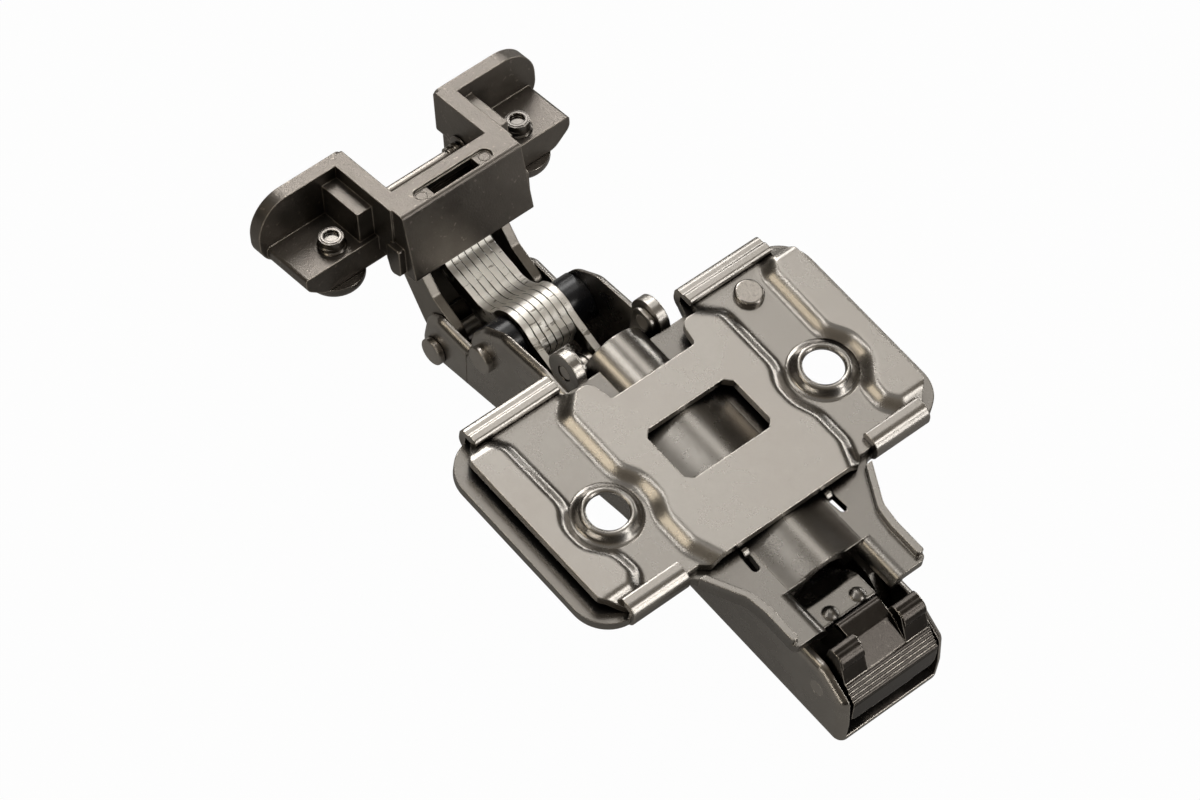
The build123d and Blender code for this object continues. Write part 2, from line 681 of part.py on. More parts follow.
def block_ear():
    """One ear on the +Y side: side wall, back wall, shelf and stiffening rib."""
    side = outline(
        [(ear_back, block_top), (block_back + 1, block_top), (block_back + 1, 0.4), (-51.5, 0.4),
         (ear_back, 3.6)], [0.6, 0, 0, 1.5, 1.5])
    wall = across(side, ear_wall_inner, ear_wall_outer)
    back = outline(
        [(ear_wall_inner, block_top), (ear_half_span, block_top), (ear_half_span, ear_bottom),
         (ear_wall_inner, 2.0)], [0.8, ear_corner, 3.4, 1.0])
    wall += extrude(Plane.YZ.offset(ear_back) * back, amount=ear_back_sheet)
    shelf = outline(
        [(ear_wall_inner + 0.5, shelf_top), (shelf_half_span, shelf_top), (shelf_half_span, 0.8),
         (17.2, ear_bottom), (ear_wall_inner + 0.5, ear_bottom)], [0, 0.4, 1.4, 2.5, 0.5])
    wall += extrude(Plane.YZ.offset(ear_back + 0.5) * shelf, amount=shelf_front - ear_back - 0.5)
    wall += brick(ear_back + 0.5, rib_front, ear_wall_inner + 0.5, rib_outer, ear_bottom + 1, rib_top)
    wall += brick(block_back - 1, block_back + 2.5, ear_wall_inner + 1, ear_wall_outer, 0.4, block_top)
    return wall


def side_lug():
    """Small tab on each side of the box."""
    face = outline([(-45.9, 3.5), (-43.6, 3.5), (-43.6, -0.4), (-45.4, -0.9), (-45.9, 1.0)], [0.3, 0.3, 0.6, 0.6, 0.6])
    return across(face, block_half_width - 0.3, block_half_width + 0.9)


def door_block():
    body = block_shell() + pair(block_ear()) + pair(side_lug())
    carrier = outline(
        [(pivot_d[0] - 1.5, block_top - 1), (pivot_d[0] + 1.0, block_top - 1), (pivot_d[0] + 1.5, pivot_d[1]),
         (pivot_d[0] + 1.2, pivot_d[1] - 1.5), (pivot_d[0] - 1.2, pivot_d[1] - 1.5), (pivot_d[0] - 1.5, pivot_d[1])],
        [0, 0, 0.4, 0.5, 0.5, 0.4])
    carrier_outer = outer_link_half - outer_link_sheet - 0.15
    carrier_inner = link_pitch * link_plate_count / 2 + 0.15
    body += pair(across(carrier, carrier_inner, carrier_outer))
    groove = SlotOverall(2 * slot_half_length, slot_front - slot_rear, rotation=90)
    body -= Pos((slot_front + slot_rear) / 2, 0, block_top - slot_depth) * extrude(groove, amount=slot_depth + 1)
    body -= brick(mouth_rear, mouth_front, -mouth_half, mouth_half, block_top - 3, block_top + 1)
    body -= pin_across(pivot_c[0], pivot_c[1], block_pin_radius, -block_half_width + 0.3, block_half_width - 0.3)
    body -= pin_across(pivot_d[0], pivot_d[1], open_pivot_pin_radius, -carrier_outer - 0.1, carrier_outer + 0.1)
    body -= pin_across(rod_x, rod_z, rod_radius, -ear_wall_inner - 1, ear_wall_inner + 1)
    for y in (-clamp_y, clamp_y):
        body -= post(clamp_x, y, clamp_thread_radius + running_gap, ear_bottom - 1, shelf_top + 1)
    return on_block(body)


def clamp_screw(y):
    """Screw through the shelf with a domed head below it."""
    head_top = ear_bottom - face_gap
    shaft = post(clamp_x, y, clamp_thread_radius, head_top, clamp_tip)
    head = post(clamp_x, y, clamp_head_radius, head_top - clamp_head_height, head_top)
    head = fillet(head.edges().filter_by(GeomType.CIRCLE).sort_by(Axis.Z)[0], clamp_head_height * 0.8)
    tip_recess = post(clamp_x, y, clamp_thread_radius * 0.6, clamp_tip - 0.4, clamp_tip + 1)
    drive = cross_recess(clamp_x, y, head_top - clamp_head_height - 0.1, clamp_head_radius, 1.1)
    return on_block(shaft + head - tip_recess - drive)


def coil_spring():
    """Closely wound torsion spring, its turns as rings side by side."""
    pitch = spring_wire
    half = spring_turns * pitch / 2
    tube = pin_across(spring_x, spring_z, spring_radius, -half, half)
    tube -= pin_across(spring_x, spring_z, spring_radius - spring_wire, -half - 1, half + 1)
    for i in range(1, spring_turns):
        y = -half + i * pitch
        groove = pin_across(spring_x, spring_z, spring_radius + 1, y - 0.08, y + 0.08)
        groove -= pin_across(spring_x, spring_z, spring_radius - 0.25, y - 1, y + 1)
        tube -= groove
    return tube


def damper_body():
    body = bar_along(damper_z, damper_radius, damper_front, damper_rear)
    body = fillet(body.edges().filter_by(GeomType.CIRCLE), 0.3)
    body -= bar_along(damper_z, piston_radius + running_gap, damper_front - 1, damper_rear - 3)
    foot_low = carriage_floor + carriage_sheet
    rest = brick(damper_front + 8.5, damper_rear - 4.5, -1.6, 1.6, foot_low, damper_z)
    return body + rest - bar_along(damper_z, piston_radius + running_gap, damper_front - 1, damper_rear - 3)


def piston():
    return bar_along(damper_z, piston_radius, piston_front, damper_rear - 8)


def guide_rod():
    half = ear_wall_inner + 1 - 0.05
    return on_block(pin_across(rod_x, rod_z, rod_radius, -half, half))


pieces = {
    "slide_plate": slide_plate(),
    "height_cam": height_cam(),
    "base_plate": on_arm(base_plate()),
    "carriage": on_arm(carriage()),
    "hook_pin_right": on_arm(hook_pin()),
    "hook_pin_left": on_arm(mirror(hook_pin(), about=Plane.XZ)),
    "side_screw": on_arm(side_screw()),
    "depth_cam": on_arm(depth_cam()),
    "arm": on_arm(arm()),
    "arm_pin_front": on_arm(riveted_pin(pin_a_x, pin_a_z, arm_pin_radius, arm_half_width, 1.5, rivet_height)),
    "arm_pin_rear": on_arm(riveted_pin(pin_b_x, pin_b_z, arm_pin_radius, arm_half_width, rivet_radius, rivet_height)),
    "lever_pin": on_arm(pin_across(lever_pin_x, lever_pin_z, lever_pin_radius, -arm_half_width, arm_half_width)),
    "clip_lever": on_arm(clip_lever()),
    "outer_link": on_arm(outer_link()),
    "bush_right": on_arm(bush()),
    "bush_left": on_arm(mirror(bush(), about=Plane.XZ)),
    "door_block": on_arm(door_block()),
    "block_pin_outer": on_arm(on_block(pin_across(*pivot_c, block_pin_radius, -8.4, 8.4))),
    "block_pin_inner": on_arm(on_block(pin_across(*pivot_d, open_pivot_pin_radius, -5.1, 5.1))),
    "guide_rod": on_arm(guide_rod()),
    "clamp_screw_right": on_arm(clamp_screw(clamp_y)),
    "clamp_screw_left": on_arm(clamp_screw(-clamp_y)),
    "closing_spring": on_arm(coil_spring()),
    "spring_pin": on_arm(pin_across(spring_x, spring_z, spring_pin_radius, -arm_inner, arm_inner)),
    "damper_body": on_arm(damper_body()),
    "damper_piston": on_arm(piston()),
}
for name, plate in link_plates().items():
    pieces[name] = on_arm(plate)
for name, piece in pieces.items():
    export_step(piece, f"parts/{name}.step")
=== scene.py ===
import math
import bmesh
import bpy
import numpy as np
from mathutils import Matrix, Vector
from mathutils.geometry import delaunay_2d_cdt


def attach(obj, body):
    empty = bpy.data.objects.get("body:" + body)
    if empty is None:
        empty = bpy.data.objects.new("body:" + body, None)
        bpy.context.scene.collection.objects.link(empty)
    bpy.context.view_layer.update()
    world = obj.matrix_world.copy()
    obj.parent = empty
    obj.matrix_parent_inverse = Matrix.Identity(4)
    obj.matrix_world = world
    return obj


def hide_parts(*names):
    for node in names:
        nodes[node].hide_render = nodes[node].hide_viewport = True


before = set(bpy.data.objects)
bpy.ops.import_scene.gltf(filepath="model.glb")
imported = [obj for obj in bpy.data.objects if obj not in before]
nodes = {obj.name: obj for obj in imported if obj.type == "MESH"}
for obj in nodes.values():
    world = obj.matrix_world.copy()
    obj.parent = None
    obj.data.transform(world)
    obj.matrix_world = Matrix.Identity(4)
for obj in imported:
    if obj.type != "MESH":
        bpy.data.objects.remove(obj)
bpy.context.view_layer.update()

# Folded sheets: slide plate, base plate, arm and carriage
# Pressed from 1 to 1.3 mm steel strip, folded, then plated with satin nickel.
# A warm grey with a fine grain, painted brown shade in the folds, and bright where the edges are rubbed.
bevel_samples = 6
grain_depth = 0.00006
skin_bevel = 0.00020
# Painted shade: the dark tone is multiplied by this tint in corners and narrow gaps.
painted_shade_tint = (0.07, 0.055, 0.04)


def new_group(name, inputs, outputs):
    """Empty shader node group with float inputs and outputs."""
    group = bpy.data.node_groups.new(name, "ShaderNodeTree")
    for label, default in inputs:
        socket = group.interface.new_socket(label, in_out="INPUT", socket_type="NodeSocketFloat")
        socket.default_value = default
    for label in outputs:
        group.interface.new_socket(label, in_out="OUTPUT", socket_type="NodeSocketFloat")
    return group, group.nodes.new("NodeGroupInput"), group.nodes.new("NodeGroupOutput")


def noise(group, vector, scale, detail=4.0, rough=0.6):
    """Noise of the vector, about 0.5 on average."""
    node = group.nodes.new("ShaderNodeTexNoise")
    node.inputs["Scale"].default_value = scale
    node.inputs["Detail"].default_value = detail
    node.inputs["Roughness"].default_value = rough
    group.links.new(vector, node.inputs["Vector"])
    return node.outputs["Fac"]


def remap(group, value, low, high, to_low=0.0, to_high=1.0):
    """Value carried linearly from low..high to to_low..to_high, held at both ends."""
    node = group.nodes.new("ShaderNodeMapRange")
    for label, number in (("From Min", low), ("From Max", high), ("To Min", to_low), ("To Max", to_high)):
        node.inputs[label].default_value = number
    group.links.new(value, node.inputs["Value"])
    return node.outputs["Result"]


def math_node(group, operation, a, b):
    """One operation on two numbers or sockets."""
    node = group.nodes.new("ShaderNodeMath")
    node.operation = operation
    for i, value in enumerate((a, b)):
        if isinstance(value, (int, float)):
            node.inputs[i].default_value = value
        else:
            group.links.new(value, node.inputs[i])
    return node.outputs[0]


def mix_colour(tree, factor, a, b):
    """Colour mix node: a and b are colours or sockets."""
    node = tree.nodes.new("ShaderNodeMix")
    node.data_type = "RGBA"
    for label, value in (("A", a), ("B", b)):
        if isinstance(value, tuple):
            node.inputs[label].default_value = (*value, 1)
        else:
            tree.links.new(value, node.inputs[label])
    tree.links.new(factor, node.inputs["Factor"])
    return node.outputs["Result"]


def make_edge_wear_and_highlight():
    """Edge factor: how far a small bevel would turn the normal, broken up by noise. It places the worn
    colour, which on the lever also serves as a painted highlight.
    """
    group, start, end = new_group("edge_wear_and_highlight", [("Radius", 0.0003)], ["Edge"])
    bevel = group.nodes.new("ShaderNodeBevel")
    bevel.samples = bevel_samples
    group.links.new(start.outputs["Radius"], bevel.inputs["Radius"])
    geometry = group.nodes.new("ShaderNodeNewGeometry")
    dot = group.nodes.new("ShaderNodeVectorMath")
    dot.operation = "DOT_PRODUCT"
    group.links.new(bevel.outputs["Normal"], dot.inputs[0])
    group.links.new(geometry.outputs["Normal"], dot.inputs[1])
    turned = remap(group, dot.outputs["Value"], 0.975, 0.82)
    coords = group.nodes.new("ShaderNodeTexCoord").outputs["Object"]
    broken = remap(group, noise(group, coords, 500.0), 0.34, 0.66, 0.35, 1.0)
    group.links.new(math_node(group, "MULTIPLY", turned, broken), end.inputs["Edge"])
    return group


def make_grain():
    """Plated skin: fine height for bump, a mottle of millimetres and centimetres, and bright specks."""
    group, start, end = new_group("plated_grain", [("Size", 1.0)], ["Height", "Mottle", "Speck"])
    coords = group.nodes.new("ShaderNodeTexCoord").outputs["Object"]
    scaled = group.nodes.new("ShaderNodeVectorMath")
    scaled.operation = "SCALE"
    group.links.new(coords, scaled.inputs[0])
    group.links.new(start.outputs["Size"], scaled.inputs["Scale"])
    vector = scaled.outputs["Vector"]
    group.links.new(noise(group, vector, 5200.0, 3.0, 0.7), end.inputs["Height"])
    patch = math_node(group, "MULTIPLY", noise(group, vector, 260.0, 6.0, 0.65), 0.45)
    sweep = math_node(group, "MULTIPLY", noise(group, vector, 55.0, 3.0, 0.5), 0.55)
    group.links.new(math_node(group, "ADD", patch, sweep), end.inputs["Mottle"])
    group.links.new(remap(group, noise(group, vector, 2400.0, 2.0, 0.5), 0.66, 0.74), end.inputs["Speck"])
    return group


def make_painted_crevice_shade():
    """Light left in inside corners and narrow gaps, which darkens the colour as painted shade: 1 in the open
    and 0 deep inside.
    """
    group, start, end = new_group("painted_crevice_shade", [("Reach", 0.004)], ["Light"])
    cover = group.nodes.new("ShaderNodeAmbientOcclusion")
    cover.samples = 6
    group.links.new(start.outputs["Reach"], cover.inputs["Distance"])
    group.links.new(remap(group, cover.outputs["AO"], 0.10, 0.58, 0.0, 1.0), end.inputs["Light"])
    return group


edge_wear_and_highlight = make_edge_wear_and_highlight()
painted_crevice_shade = make_painted_crevice_shade()
plated_grain = make_grain()


def metal(name, dark, light, worn_and_highlight, rough, bump, edge_radius=0.0003, grain_size=1.0, speck=0.05, reach=0.005):
    """Plated metal: two mottled colours, specks, fine bumps, worn edges (on the lever also a painted
    highlight) and painted shade in crevices.
    """
    material = bpy.data.materials.new(name)
    material.use_nodes = True
    tree = material.node_tree
    shader = tree.nodes["Principled BSDF"]
    shader.inputs["Metallic"].default_value = 1.0
    used = {}
    for key, group, label, value in (("grain", plated_grain, "Size", grain_size),
                                     ("wear_and_highlight", edge_wear_and_highlight, "Radius", edge_radius),
                                     ("deep", painted_crevice_shade, "Reach", reach)):
        used[key] = tree.nodes.new("ShaderNodeGroup")
        used[key].node_tree = group
        used[key].inputs[label].default_value = value
    grain = used["grain"].outputs
    tone = mix_colour(tree, remap(tree, grain["Mottle"], 0.38, 0.62), dark, light)
    flecked = mix_colour(tree, math_node(tree, "MULTIPLY", grain["Speck"], speck), tone, worn_and_highlight)
    # Worn edges: rubbed metal, and on the lever's rib crests also a painted highlight.
    edged = mix_colour(tree, used["wear_and_highlight"].outputs["Edge"], flecked, worn_and_highlight)
    # Painted shade: deep in corners and narrow gaps the colour goes to this darkened tone.
    shade = tuple(colour * tint for colour, tint in zip(dark, painted_shade_tint))
    shaded = mix_colour(tree, used["deep"].outputs["Light"], shade, edged)
    tree.links.new(shaded, shader.inputs["Base Color"])
    tree.links.new(remap(tree, grain["Mottle"], 0.38, 0.62, rough[0], rough[1]), shader.inputs["Roughness"])
    bumped = tree.nodes.new("ShaderNodeBump")
    bumped.inputs["Strength"].default_value = bump
    bumped.inputs["Distance"].default_value = grain_depth
    tree.links.new(grain["Height"], bumped.inputs["Height"])
    bevel = tree.nodes.new("ShaderNodeBevel")
    bevel.samples = bevel_samples
    bevel.inputs["Radius"].default_value = skin_bevel
    tree.links.new(bevel.outputs["Normal"], bumped.inputs["Normal"])
    tree.links.new(bumped.outputs["Normal"], shader.inputs["Normal"])
    return material


def dress(names, material):
    """Give CAD nodes a material."""
    for name in names:
        materials = nodes[name].data.materials
        materials.clear()
        materials.append(material)


plate_finish = metal(
    "satin_nickel", (0.370, 0.350, 0.325), (0.455, 0.435, 0.408), (0.66, 0.615, 0.555), (0.23, 0.30), 0.10,
    edge_radius=0.00035)


def make_height_darkening():
    """1 on the highest flats, falling to the low-end input two millimetres lower: the colour darkens the
    lower the surface lies.
    """
    group, start, end = new_group("height_darkening", [("Lowest", 0.6)], ["Rub"])
    coords = group.nodes.new("ShaderNodeTexCoord").outputs["Object"]
    parts = group.nodes.new("ShaderNodeSeparateXYZ")
    group.links.new(coords, parts.inputs["Vector"])
    height = remap(group, parts.outputs["Z"], -0.0024, -0.0002)
    gain = math_node(group, "SUBTRACT", 1.0, start.outputs["Lowest"])
    raised = math_node(group, "MULTIPLY", height, gain)
    group.links.new(math_node(group, "ADD", raised, start.outputs["Lowest"]), end.inputs["Rub"])
    return group


plate_tree = plate_finish.node_tree
plate_shader = plate_tree.nodes["Principled BSDF"]
darkening = plate_tree.nodes.new("ShaderNodeGroup")
darkening.node_tree = make_height_darkening()
darkening.inputs["Lowest"].default_value = 0.62
# The plate colour is darkened the lower its surface lies.
darkened = mix_colour(plate_tree, darkening.outputs["Rub"], (0.0, 0.0, 0.0),
                    plate_shader.inputs["Base Color"].links[0].from_socket)
plate_tree.links.new(darkened, plate_shader.inputs["Base Color"])
dress(["slide_plate", "base_plate", "carriage"], plate_finish)
arm_finish = metal(
    "arm_nickel", (0.350, 0.330, 0.305), (0.420, 0.400, 0.375), (0.66, 0.615, 0.555), (0.24, 0.31), 0.10,
    edge_radius=0.00035)
dress(["arm"], arm_finish)

# Arm's front floor
# The strip between the arm's two cheeks goes on under the links, folded from the same sheet.
# The solid's floor ends sooner, so this piece carries it to the front pin.
height_setting = -0.2
sharp_angle = math.radians(40)
ring_steps = 44


def in_row(points):
    """Millimetres in the arm's own row to metres: the arm sits off centre by the height setting."""
    return (points + np.array([0.0, height_setting, 0.0])) / 1000


def add_piece(name, points, faces, body, material):
    """Closed mesh of points in metres that rides with a body, its faces turned outwards."""
    mesh = bpy.data.meshes.new(name)
    mesh.from_pydata(points.tolist(), [], faces)
    shell = bmesh.new()
    shell.from_mesh(mesh)
    bmesh.ops.recalc_face_normals(shell, faces=shell.faces)
    shell.to_mesh(mesh)
    shell.free()
    mesh.materials.append(material)
    mesh.shade_smooth()
    mesh.set_sharp_from_angle(angle=sharp_angle)
    piece = bpy.data.objects.new(name, mesh)
    bpy.context.scene.collection.objects.link(piece)
    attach(piece, body)
    return piece


def wrap_faces(rows, columns, closed):
    """Quads between rows of points, each row a loop.

    Closed joins the last row to the first. Open, the first and last rows are capped.
    """
    row, column = np.meshgrid(np.arange(rows if closed else rows - 1), np.arange(columns), indexing="ij")
    after, beside = (row + 1) % rows, (column + 1) % columns
    quads = np.stack([row * columns + column, after * columns + column, after * columns + beside,
                      row * columns + beside], axis=-1).reshape(-1, 4).tolist()
    if not closed:
        quads += [list(range(columns)), list(range(rows * columns - 1, (rows - 1) * columns - 1, -1))]
    return quads


def add_bar(name, outline, low, high, place, body, material):
    """Straight bar: the X-Z outline carried from Y = low to Y = high, its ends closed."""
    outline = np.array(outline, dtype=float)
    rows = [np.insert(outline, 1, y, axis=1) for y in (low, high)]
    faces = wrap_faces(2, len(outline), False)
    return add_piece(name, place(np.concatenate(rows)), faces, body, material)


def round_outline(x, z, radius, steps=28):
    """Circle in X-Z: x + r cos a, z + r sin a."""
    angle = np.linspace(0, 2 * np.pi, steps, endpoint=False)
    return np.stack([x + radius * np.cos(angle), z + radius * np.sin(angle)], axis=1)


def add_ring(name, section, centre, axis, place, body, material, turns=1, pitch=0.0):
    """A closed section of (radius, height) points carried round an axis.

    At angle a the point lies at the section's radius, at height v + pitch * a / 2 pi. A plain ring
    closes on itself. A thread has pitch, and its section grows from and shrinks to its inner edge over the
    first and last quarter turn.
    """
    section = np.array(section, dtype=float)
    angle = np.linspace(0, 2 * np.pi * turns, ring_steps * turns + bool(pitch), endpoint=bool(pitch))[:, None]
    inner, middle = section[:, 0].min(), section[:, 1].mean()
    ends = np.clip(4 * np.minimum(angle, angle[-1] - angle) / (2 * np.pi), 0.03, 1.0) if pitch else 1.0
    radius = inner + (section[:, 0] - inner) * ends
    height = middle + (section[:, 1] - middle) * ends + pitch * angle / (2 * np.pi)
    across, along, height = np.broadcast_arrays(radius * np.cos(angle), radius * np.sin(angle), height)
    stack = [across, along, height] if axis == "Z" else [along, height, across]
    points = np.stack(stack, axis=-1).reshape(-1, 3) + np.array(centre, dtype=float)
    faces = wrap_faces(len(angle), len(section), not pitch)
    return add_piece(name, place(points), faces, body, material)


arm_floor_half = 6.5
add_bar("arm_front_floor", [(-25.9, -20.55), (-25.9, -19.45), (-32.3, -20.9), (-32.3, -22.0)],
        -arm_floor_half, arm_floor_half, in_row, "arm", arm_finish)

# Pressed slide plate
# The sheet between the screws: a waisted plateau and two outer ridges are drawn up from it, and each screw
# hole has a flared collar. The slopes are wide and soft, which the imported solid's narrow step doesn't show.
emboss = 1.1
slide_thickness = 1.1
grid_step = 0.36
slope_foot = 1.15
slope_crown = 1.05


def mirrored(half):
    """Corner list of (x, y, radius) followed by its mirror image in Y, in reverse."""
    return half + [(x, -y, radius) for x, y, radius in reversed(half)]


def rounded_loop(corners, spacing=grid_step):
    """Closed outline with an arc of its own radius at each corner and points at most spacing apart."""
    loop = []
    for i, (x, y, radius) in enumerate(corners):
        here = np.array([x, y], dtype=float)
        before, after = (np.array(corners[(i + k) % len(corners)][:2], dtype=float) - here for k in (-1, 1))
        before, after = before / np.linalg.norm(before), after / np.linalg.norm(after)
        if radius == 0:
            loop.append(here[None])
            continue
        half = 0.5 * math.acos(max(-1.0, min(1.0, float(before @ after))))
        middle = before + after
        centre = here + middle / np.linalg.norm(middle) * radius / math.sin(half)
        start, end = (here + side * radius / math.tan(half) - centre for side in (before, after))
        first = math.atan2(start[1], start[0])
        turn = (math.atan2(end[1], end[0]) - first + math.pi) % (2 * math.pi) - math.pi
        angle = first + turn * np.linspace(0, 1, max(3, int(abs(turn) * radius / spacing) + 2))
        loop.append(centre + radius * np.stack([np.cos(angle), np.sin(angle)], axis=1))
    loop = np.concatenate(loop)
    runs = []
    for a, b in zip(loop, np.roll(loop, -1, axis=0)):
        parts = max(1, math.ceil(float(np.linalg.norm(b - a)) / spacing))
        if np.linalg.norm(b - a) > 1e-4:
            runs.append(a + (b - a) * np.linspace(0, 1, parts, endpoint=False)[:, None])
    return np.concatenate(runs)


def circle_loop(x, y, radius):
    """Circle as a closed loop, its points a grid step apart."""
    angle = np.linspace(0, 2 * np.pi, max(16, int(2 * np.pi * radius / grid_step)), endpoint=False)
    return np.stack([x + radius * np.cos(angle), y + radius * np.sin(angle)], axis=1)


def is_inside(points, loop):
    """Even-odd test of points against a closed loop."""
    x, y = points[:, :1], points[:, 1:]
    x1, y1 = loop.T
    x2, y2 = np.roll(loop, -1, axis=0).T
    crossed = ((y1 > y) != (y2 > y)) & (x < (x2 - x1) * (y - y1) / (y2 - y1 + 1e-12) + x1)
    return crossed.sum(axis=1) % 2 == 1


def distance_to(points, loop):
    """Distance of each point to the nearest segment of a closed loop."""
    run = np.roll(loop, -1, axis=0) - loop
    offset = points[:, None] - loop[None]
    share = np.clip((offset * run).sum(axis=2) / (run * run).sum(axis=1), 0, 1)
    return np.sqrt(((offset - share[..., None] * run) ** 2).sum(axis=2)).min(axis=1)


def soft_raise(points, loop):
    """Height above the band: 3 t^2 - 2 t^3 over the slope, t from 0 at its foot to 1 at its crown."""
    depth = distance_to(points, loop) * np.where(is_inside(points, loop), 1, -1)
    t = np.clip((depth + slope_foot) / (slope_foot + slope_crown), 0, 1)
    return emboss * t * t * (3 - 2 * t)


def add_sheet(name, outer, holes, raised, thickness, body, material):
    """Flat sheet cut to the outer loop and holes, pressed up in the raised loops.

    The underside is the same net of points, lowered by the thickness.
    """
    loops = [outer] + holes
    edges, first = [], 0
    for loop in loops:
        numbers = np.arange(len(loop))
        edges += np.stack([numbers + first, (numbers + 1) % len(loop) + first], axis=1).tolist()
        first += len(loop)
    low, high = outer.min(axis=0), outer.max(axis=0)
    row_step = grid_step * 0.866
    x, y = np.meshgrid(np.arange(low[0], high[0], grid_step), np.arange(low[1], high[1], row_step))
    x = x + np.where(np.arange(x.shape[0]) % 2, grid_step / 2, 0)[:, None]
    grid = np.stack([x.ravel(), y.ravel()], axis=1)
    kept = is_inside(grid, outer)
    for loop in loops:
        kept &= distance_to(grid, loop) > grid_step * 0.6
    for loop in holes:
        kept &= ~is_inside(grid, loop)
    flat = np.concatenate(loops + [grid[kept]])
    result = delaunay_2d_cdt([Vector(point) for point in flat.tolist()], edges, [], 0, 1e-6, False)
    flat, triangles = np.array([tuple(point) for point in result[0]]), np.array(result[2])
    middle = flat[triangles].mean(axis=1)
    kept = is_inside(middle, outer)
    for loop in holes:
        kept &= ~is_inside(middle, loop)
    triangles = triangles[kept]
    count = len(flat)
    height = -emboss + np.max([soft_raise(flat, loop) for loop in raised], axis=0)
    top = np.column_stack([flat, height])
    starts, ends = triangles.ravel(), np.roll(triangles, -1, axis=1).ravel()
    rim = ~np.isin(ends * count + starts, starts * count + ends)
    walls = np.stack([ends[rim], starts[rim], starts[rim] + count, ends[rim] + count], axis=1)
    faces = triangles.tolist() + (triangles[:, ::-1] + count).tolist() + walls.tolist()
    points = np.concatenate([top, top - [0, 0, thickness]]) / 1000
    return add_piece(name, points, faces, body, material)


slide_blank = rounded_loop(mirrored([
    (-10.9, 6.2, 0.6), (-14.1, 6.8, 1.2), (-14.1, 9.4, 0.8), (-16.9, 10.4, 0.5), (-16.9, 21.5, 0.8),
    (-14.1, 24.1, 1.0), (7.9, 24.1, 0.8), (10.9, 21.3, 0.6), (10.9, 12.0, 0.3), (11.85, 10.9, 0.5)]))
slide_window = rounded_loop([(-5.4, 5.5, 0), (-4.5, 6.4, 0), (1.65, 6.4, 0), (2.55, 5.5, 0),
                             (2.55, -5.5, 0), (1.65, -6.4, 0), (-4.5, -6.4, 0), (-5.4, -5.5, 0)])
slide_plateau = rounded_loop(mirrored([
    (-18.1, 7.4, 0), (-14.7, 9.3, 1.0), (-12.4, 11.75, 1.8), (-3.4, 11.75, 4.0), (-1.2, 10.35, 4.0),
    (1.6, 10.35, 4.0), (4.2, 11.45, 4.0), (8.6, 11.45, 3.0), (15.85, 8.6, 0)]))
slide_ridge = rounded_loop([
    (-14.9, 28.0, 0), (-14.9, 20.6, 1.4), (-13.2, 19.5, 1.6), (-3.6, 19.3, 3.5), (-1.3, 20.9, 3.0),
    (1.7, 20.9, 3.0), (4.6, 18.6, 3.0), (7.4, 18.4, 1.6), (9.2, 19.8, 1.4), (9.2, 28.0, 0)])
collar_foot = 4.25
screw_half_pitch = 16.0
cam_x, cam_y, cam_hole = -12.7, 15.95, 1.35
slide_holes = [slide_window, circle_loop(0, screw_half_pitch, collar_foot),
               circle_loop(0, -screw_half_pitch, collar_foot), circle_loop(cam_x, cam_y, cam_hole)]
slide_raised = [slide_plateau, slide_ridge, slide_ridge * [1, -1]]
slide_sheet_piece = add_sheet("slide_sheet", slide_blank, slide_holes, slide_raised, slide_thickness,
                              "mount", plate_finish)
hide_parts("slide_plate")


def in_frame(points):
    """Millimetres in the shared frame to metres."""
    return points / 1000


collar_section = [(4.27, -1.12), (3.95, -1.06), (3.66, -0.84), (3.34, -0.36), (3.12, -0.08), (2.9, 0.0),
                  (2.62, -0.04), (2.45, -0.22), (2.45, -0.6), (3.7, -2.18), (4.27, -2.18)]
for name, y in (("slide_collar_right", screw_half_pitch), ("slide_collar_left", -screw_half_pitch)):
    add_ring(name, collar_section[::-1], (0, y, 0), "Z", in_frame, "mount", plate_finish)

# Vault of the base plate
# A half-round swage along the base plate stiffens it. It swells softly out of the sheet on both sides.
# Its height is rise * (1 + cos(pi y / half)) / 2 above the sheet.
vault_half, vault_rise, base_top = 5.5, 1.03, -2.25
vault_steps = 41
vault_depth = 0.05
vault_y = np.linspace(-vault_half, vault_half, vault_steps)
vault_z = base_top + vault_rise * (0.5 + 0.5 * np.cos(np.pi * vault_y / vault_half))
vault_rows = []
for x in (-11.0, 18.85):
    station = np.full(vault_steps, x)
    crown = np.column_stack([station, vault_y, vault_z])
    foot = np.column_stack([station, vault_y[::-1], np.full(vault_steps, base_top - vault_depth)])
    vault_rows.append(np.concatenate([crown, foot]))
add_piece("vault_swell", in_row(np.concatenate(vault_rows)), wrap_faces(2, 2 * vault_steps, False), "base",
          plate_finish)

# Die-cast door block
# Zinc casting in dark bronze-grey, with a coarse skin and corners worn to bright metal.
cast_finish = metal(
    "dark_casting", (0.150, 0.137, 0.123), (0.235, 0.216, 0.196), (0.66, 0.60, 0.52), (0.33, 0.44), 0.62,
    edge_radius=0.00034, grain_size=0.60, speck=0.28, reach=0.003)
dress(["door_block"], cast_finish)
block_tilt = math.radians(13.0)


def in_block(points):
    """Row point of a block point: x' = x cos t - z sin t, z' = x sin t + z cos t, t the block's tilt."""
    x, y, z = np.asarray(points, dtype=float).T
    sine, cosine = math.sin(block_tilt), math.cos(block_tilt)
    return in_row(np.stack([x * cosine - z * sine, y, x * sine + z * cosine], axis=1))


def rectangle(low_u, high_u, low_v, high_v):
    """Four corners of a section."""
    return [(low_u, low_v), (high_u, low_v), (high_u, high_v), (low_u, high_v)]


# The back wall's lip closes the view through the top slot.
add_bar("block_back_lip", rectangle(-47.8, -46.9, 4.2, 6.0), -5.0, 5.0, in_block, "block", cast_finish)
